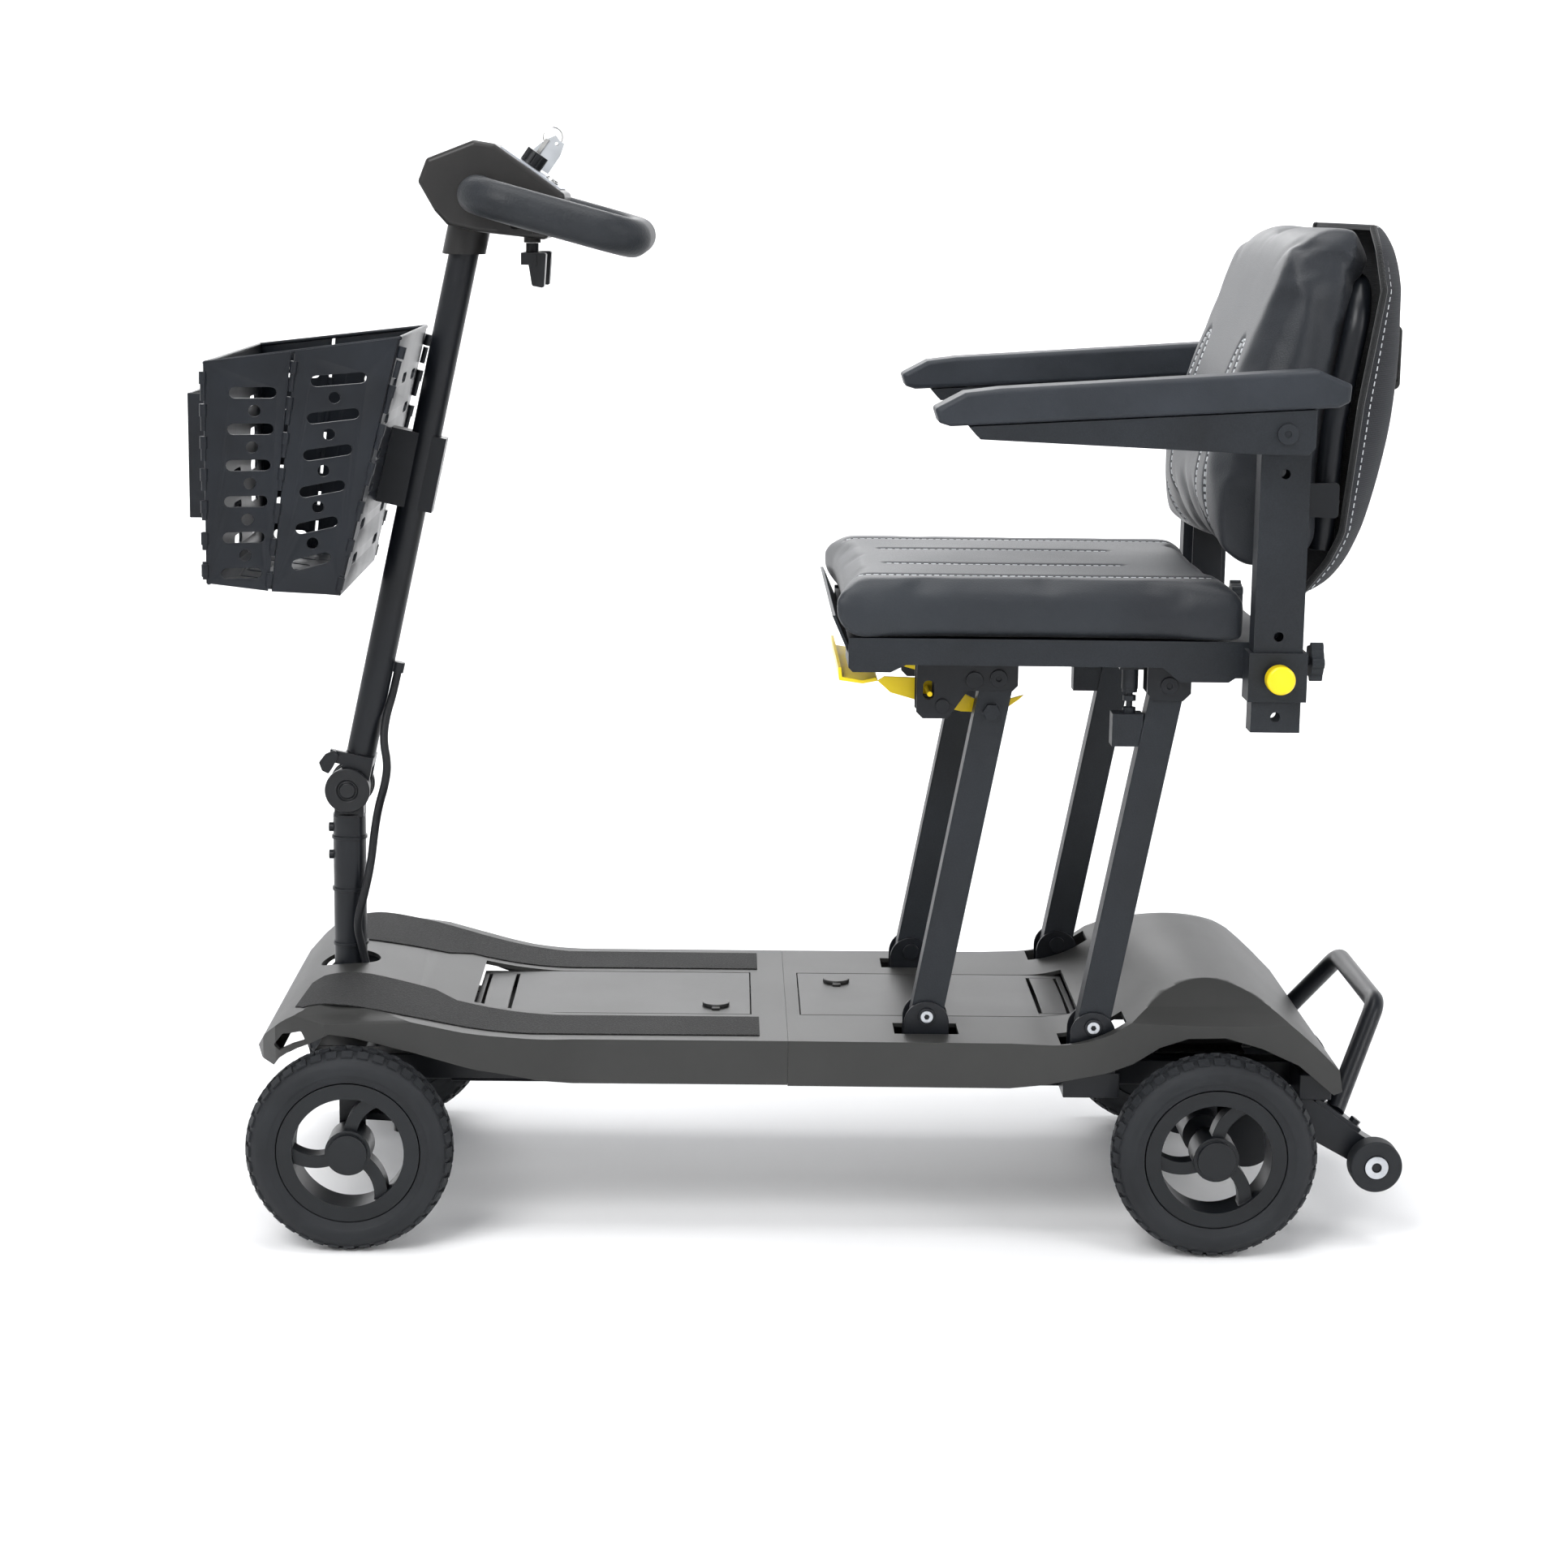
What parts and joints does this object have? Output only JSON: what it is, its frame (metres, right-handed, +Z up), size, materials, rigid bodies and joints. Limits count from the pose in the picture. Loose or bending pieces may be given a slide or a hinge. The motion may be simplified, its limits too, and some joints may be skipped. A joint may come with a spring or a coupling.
{
  "type": "mobility scooter",
  "caption": "Folding four-wheel travel mobility scooter with a tiller and loop handle, a front basket, a padded seat on folding legs, flip-up armrests and lift-out batteries.",
  "frame": {"origin": "on the ground, below the middle of the scooter's overall length and width", "axes": "+X forward along the scooter, +Y to the rider's left, +Z up"},
  "size_m": [1.13, 0.564, 1.0081],
  "materials": {
    "tyre_rubber": "matt",
    "wheel_plastic": "satin",
    "trolley_rubber": "matt",
    "black_steel": "satin black powder coat",
    "textured_paint": "fine-textured blue-black powder coat",
    "deck_plastic": "fine-grained charcoal",
    "grip_rubber": "rough grit",
    "lid_plastic": "satin",
    "motor_alloy": "cast",
    "yellow_steel": "gloss",
    "yellow_plastic": "gloss",
    "leatherette": "coated vinyl leatherette",
    "back_fabric": "woven",
    "pad_plastic": "pebble texture",
    "head_plastic": "satin",
    "panel_silver": "smooth",
    "bright_metal": "polished",
    "loop_foam": "pebbled foam",
    "basket_plastic": "smooth",
    "cable_sheath": "matt"
  },
  "bodies": {
    "chassis": {"frame_side_rails": "black_steel", "frame_cross_members": "black_steel", "front_axle_beam": "black_steel", "front_deck_cover": "deck_plastic", "rear_deck_cover": "deck_plastic", "grip_pads": "grip_rubber", "drive_unit": "motor_alloy", "motor_controller": "lid_plastic", "trolley_arms": "black_steel", "rear_handle": "textured_paint", "foot_brackets": "black_steel"},
    "front_battery": {"front_battery_pack": "lid_plastic"},
    "rear_battery": {"rear_battery_pack": "lid_plastic"},
    "column": {"steering_column": "black_steel", "wiring_harness": "cable_sheath"},
    "left_steering_knuckle": {"left_knuckle": "black_steel"},
    "right_steering_knuckle": {"right_knuckle": "black_steel"},
    "left_front_wheel": {"left_front_tyre": "tyre_rubber", "left_front_rim": "wheel_plastic"},
    "right_front_wheel": {"right_front_tyre": "tyre_rubber", "right_front_rim": "wheel_plastic"},
    "left_rear_wheel": {"left_rear_tyre": "tyre_rubber", "left_rear_rim": "wheel_plastic"},
    "right_rear_wheel": {"right_rear_tyre": "tyre_rubber", "right_rear_rim": "wheel_plastic"},
    "left_track_rod": {"left_tie_rod": "black_steel"},
    "right_track_rod": {"right_tie_rod": "black_steel"},
    "left_trolley": {"left_trolley_wheel": "trolley_rubber"},
    "right_trolley": {"right_trolley_wheel": "trolley_rubber"},
    "tiller": {"tiller_tube": "textured_paint", "fold_joint_discs": "black_steel", "head_upper_shell": "head_plastic", "head_lower_shell": "head_plastic", "control_panel": "panel_silver", "handle_loop": "loop_foam"},
    "shopping_basket": {"basket": "basket_plastic"},
    "throttle": {"throttle_paddle": "lid_plastic"},
    "dial": {"speed_dial": "lid_plastic"},
    "horn": {"horn_button": "bright_metal"},
    "key": {"ignition_key": "bright_metal"},
    "front_leg_pair": {"front_legs": "textured_paint"},
    "rear_leg_pair": {"rear_legs": "textured_paint"},
    "seat": {"seat_frame": "textured_paint", "seat_brackets": "black_steel", "seat_cushion": "leatherette", "armrest_beam": "black_steel", "backrest_uprights": "black_steel"},
    "release_lever": {"seat_release_lever": "yellow_steel"},
    "left_post": {"left_armrest_post": "textured_paint"},
    "right_post": {"right_armrest_post": "textured_paint"},
    "left_plunger": {"left_height_plunger": "yellow_plastic"},
    "right_plunger": {"right_height_plunger": "yellow_plastic"},
    "left_armrest": {"left_armrest_pad": "pad_plastic", "left_armrest_bracket": "textured_paint"},
    "right_armrest": {"right_armrest_pad": "pad_plastic", "right_armrest_bracket": "textured_paint"},
    "backrest": {"back_frame": "black_steel", "back_cushion": "leatherette", "back_flap": "back_fabric"}
  },
  "joints": [
    {"name": "steer", "type": "hinge", "parent": "chassis", "child": "column", "pos_m": [0.429, 0, 0.15], "axis": [0, 0, 1], "range_deg": [-20, 20]},
    {"name": "left_kingpin", "type": "hinge", "parent": "chassis", "child": "left_steering_knuckle", "pos_m": [0.407, 0.17, 0.14], "axis": [0, 0, 1], "range_deg": [-20, 20]},
    {"name": "right_kingpin", "type": "hinge", "parent": "chassis", "child": "right_steering_knuckle", "pos_m": [0.407, -0.17, 0.14], "axis": [0, 0, 1], "range_deg": [-20, 20]},
    {"name": "left_track_rod_pivot", "type": "hinge", "parent": "column", "child": "left_track_rod", "pos_m": [0.384, 0.01, 0.11], "axis": [0, 0, 1], "range_deg": [-20, 20]},
    {"name": "right_track_rod_pivot", "type": "hinge", "parent": "column", "child": "right_track_rod", "pos_m": [0.384, -0.01, 0.11], "axis": [0, 0, 1], "range_deg": [-20, 20]},
    {"name": "left_front_wheel_spin", "type": "hinge", "parent": "left_steering_knuckle", "child": "left_front_wheel", "pos_m": [0.407, 0.211, 0.095], "axis": [0, 1, 0], "continuous": true},
    {"name": "right_front_wheel_spin", "type": "hinge", "parent": "right_steering_knuckle", "child": "right_front_wheel", "pos_m": [0.407, -0.211, 0.095], "axis": [0, 1, 0], "continuous": true},
    {"name": "left_rear_wheel_spin", "type": "hinge", "parent": "chassis", "child": "left_rear_wheel", "pos_m": [-0.387, 0.211, 0.095], "axis": [0, 1, 0], "continuous": true},
    {"name": "right_rear_wheel_spin", "type": "hinge", "parent": "chassis", "child": "right_rear_wheel", "pos_m": [-0.387, -0.211, 0.095], "axis": [0, 1, 0], "continuous": true},
    {"name": "left_trolley_spin", "type": "hinge", "parent": "chassis", "child": "left_trolley", "pos_m": [-0.54075, 0.19, 0.08], "axis": [0, 1, 0], "continuous": true},
    {"name": "right_trolley_spin", "type": "hinge", "parent": "chassis", "child": "right_trolley", "pos_m": [-0.54075, -0.19, 0.08], "axis": [0, 1, 0], "continuous": true},
    {"name": "front_battery_lift", "type": "slide", "parent": "chassis", "child": "front_battery", "axis": [0, 0, 1], "range_m": [0, 0.06]},
    {"name": "rear_battery_lift", "type": "slide", "parent": "chassis", "child": "rear_battery", "axis": [0, 0, 1], "range_m": [0, 0.06]},
    {"name": "tiller_fold", "type": "hinge", "parent": "column", "child": "tiller", "pos_m": [0.428, 0, 0.392], "axis": [0, 1, 0], "range_deg": [-20, 6], "deforming": ["wiring_harness"]},
    {"name": "basket_lift", "type": "slide", "parent": "tiller", "child": "shopping_basket", "axis": [-0.2327, 0, 0.9725], "range_m": [0, 0.04]},
    {"name": "throttle_rock", "type": "hinge", "parent": "tiller", "child": "throttle", "pos_m": [0.252, 0, 0.9], "axis": [0, 0, 1], "range_deg": [-18, 18], "stiffness_Nm_per_rad": 0.3},
    {"name": "speed_dial_turn", "type": "hinge", "parent": "tiller", "child": "dial", "pos_m": [0.254, 0.014, 0.98092], "axis": [-0.5692, 0, 0.8222], "range_deg": [-135, 135]},
    {"name": "key_turn", "type": "hinge", "parent": "tiller", "child": "key", "pos_m": [0.256, -0.03, 0.98231], "axis": [-0.5692, 0, 0.8222], "range_deg": [0, 60]},
    {"name": "horn_press", "type": "slide", "parent": "tiller", "child": "horn", "axis": [0.5692, 0, -0.8222], "range_m": [0, 0.002], "stiffness_N_per_m": 600},
    {"name": "seat_fold", "type": "hinge", "parent": "chassis", "child": "rear_leg_pair", "pos_m": [-0.276, 0, 0.206], "axis": [0, 1, 0], "range_deg": [0, 83]},
    {"name": "front_leg_swing", "type": "hinge", "parent": "chassis", "child": "front_leg_pair", "pos_m": [-0.124, 0, 0.206], "axis": [0, 1, 0], "range_deg": [0, 83]},
    {"name": "seat_level", "type": "hinge", "parent": "rear_leg_pair", "child": "seat", "pos_m": [-0.335, 0, 0.526], "axis": [0, 1, 0], "range_deg": [-83, 0]},
    {"name": "release_lever_pull", "type": "hinge", "parent": "seat", "child": "release_lever", "pos_m": [-0.132, 0, 0.5], "axis": [0, -1, 0], "range_deg": [0, 7], "stiffness_Nm_per_rad": 1.2},
    {"name": "left_post_height", "type": "slide", "parent": "seat", "child": "left_post", "axis": [0, 0, 1], "range_m": [-0.036, 0.036]},
    {"name": "left_plunger_pull", "type": "slide", "parent": "seat", "child": "left_plunger", "axis": [0, 1, 0], "range_m": [0, 0.006], "stiffness_N_per_m": 800},
    {"name": "left_armrest_flip", "type": "hinge", "parent": "left_post", "child": "left_armrest", "pos_m": [-0.415, 0.26, 0.762], "axis": [0, -1, 0], "range_deg": [0, 90]},
    {"name": "right_post_height", "type": "slide", "parent": "seat", "child": "right_post", "axis": [0, 0, 1], "range_m": [-0.036, 0.036]},
    {"name": "right_plunger_pull", "type": "slide", "parent": "seat", "child": "right_plunger", "axis": [0, -1, 0], "range_m": [0, 0.006], "stiffness_N_per_m": 800},
    {"name": "right_armrest_flip", "type": "hinge", "parent": "right_post", "child": "right_armrest", "pos_m": [-0.415, -0.26, 0.762], "axis": [0, -1, 0], "range_deg": [0, 90]},
    {"name": "backrest_fold", "type": "hinge", "parent": "seat", "child": "backrest", "pos_m": [-0.422, 0, 0.697], "axis": [0, 1, 0], "range_deg": [0, 90]}
  ],
  "couplings": [
    {"joint": "left_kingpin", "follows": "steer", "ratio": 1},
    {"joint": "right_kingpin", "follows": "steer", "ratio": 1},
    {"joint": "left_track_rod_pivot", "follows": "steer", "ratio": -1},
    {"joint": "right_track_rod_pivot", "follows": "steer", "ratio": -1},
    {"joint": "front_leg_swing", "follows": "seat_fold", "ratio": 1},
    {"joint": "seat_level", "follows": "seat_fold", "ratio": -1}
  ]
}
